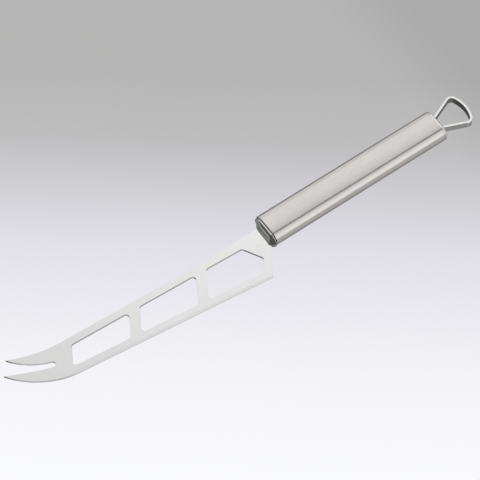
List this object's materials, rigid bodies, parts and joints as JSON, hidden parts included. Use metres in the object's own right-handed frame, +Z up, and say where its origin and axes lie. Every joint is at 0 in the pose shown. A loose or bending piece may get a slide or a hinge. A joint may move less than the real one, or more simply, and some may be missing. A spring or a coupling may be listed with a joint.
{
  "type": "cheese knife",
  "caption": "Stainless steel cheese knife with a windowed blade and forked tip, set in a hollow flat-oval handle with a polished front cap and a hanging loop.",
  "frame": {"origin": "middle of the handle tube's lower flat, on which the knife lies", "axes": "+X along the handle from the tip towards the hanging loop, +Y from the cutting edge towards the spine, +Z up, square to the handle's flats"},
  "size_m": [0.2823, 0.0385, 0.0096],
  "materials": {
    "blade_steel": "fine satin",
    "brushed_steel": "brushed along the handle",
    "polished_steel": "polished",
    "loop_steel": "polished",
    "weld_steel": "as welded",
    "cement": "cast epoxy"
  },
  "bodies": {
    "root": {"blade": "blade_steel", "front_cap": "polished_steel", "handle_tube": "brushed_steel", "tang_cement": "cement", "rear_cap": "brushed_steel", "hanging_loop": "loop_steel", "loop_welds": "weld_steel"}
  },
  "joints": []
}
